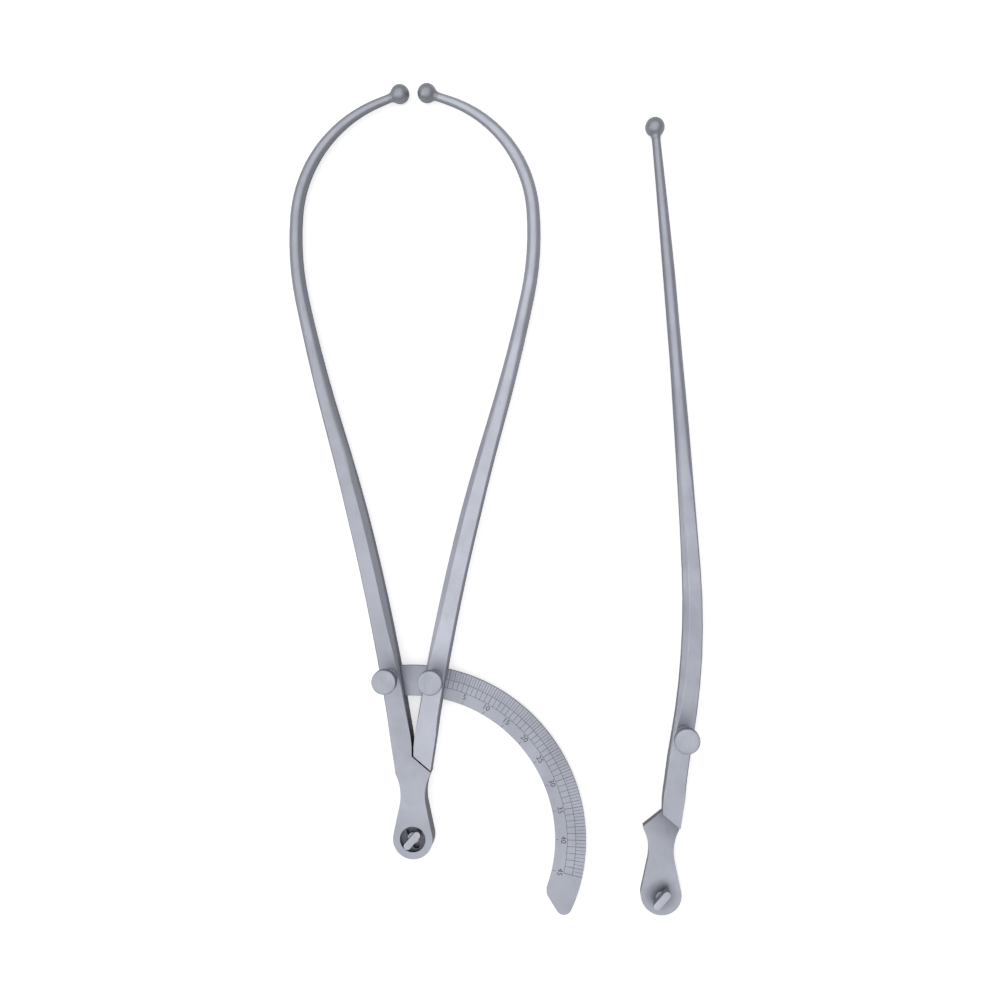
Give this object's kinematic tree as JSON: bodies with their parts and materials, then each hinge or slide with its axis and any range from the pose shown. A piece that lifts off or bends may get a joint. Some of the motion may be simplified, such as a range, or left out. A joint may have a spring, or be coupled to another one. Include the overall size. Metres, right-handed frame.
{
  "type": "pelvimeter",
  "caption": "Bowed two-arm calliper with ball tips, a take-apart half-lap hinge, a graduated arc clamped by thumb screws, and a loose interchangeable straight arm.",
  "frame": {"origin": "hinge axis of the calliper, at the back face of the rear hinge leaf, which is the plane that the instrument lies on", "axes": "+X to the side of the graduated arc, +Y from the hinge towards the balls, +Z out of the front face along the hinge pin"},
  "size_m": [0.1749, 0.3516, 0.022],
  "materials": {
    "nickel_arms": "satin nickel plate on steel",
    "nickel_balls": "turned and nickel plated",
    "nickel_arc": "satin nickel plate with engraved and blackened marks",
    "nickel_screws": "turned and nickel plated",
    "nickel_studs": "turned and nickel plated"
  },
  "bodies": {
    "left_side": {"left_arm": "nickel_arms", "left_ball": "nickel_balls", "graduated_arc": "nickel_arc"},
    "right_side": {"right_arm": "nickel_arms", "right_ball": "nickel_balls", "pivot_stud": "nickel_studs"},
    "scale_screw": {"scale_screw": "nickel_screws"},
    "clamp_screw": {"clamp_screw": "nickel_screws"},
    "straight_side": {"straight_arm": "nickel_arms", "straight_arm_ball": "nickel_balls", "straight_arm_stud": "nickel_studs"},
    "straight_clamp_screw": {"straight_arm_clamp_screw": "nickel_screws"}
  },
  "joints": [
    {"name": "arm_hinge", "type": "hinge", "parent": "right_side", "child": "left_side", "pos_m": [0, 0, 0.004], "axis": [0, 0, 1], "range_deg": [-0.6, 90.8]},
    {"name": "scale_screw_turn", "type": "hinge", "parent": "left_side", "child": "scale_screw", "pos_m": [-0.00954, 0.06935, 0.008], "axis": [0, 0, 1], "range_deg": [0, 360]},
    {"name": "clamp_screw_turn", "type": "hinge", "parent": "right_side", "child": "clamp_screw", "pos_m": [0.00954, 0.06935, 0.008], "axis": [0, 0, 1], "range_deg": [0, 360]},
    {"name": "straight_arm_lift", "type": "slide", "parent": "right_side", "child": "straight_side", "axis": [0, 0, 1], "range_m": [0, 0.05]},
    {"name": "straight_clamp_turn", "type": "hinge", "parent": "straight_side", "child": "straight_clamp_screw", "pos_m": [0.11331, 0.04794, 0.008], "axis": [0, 0, 1], "range_deg": [0, 360]}
  ]
}
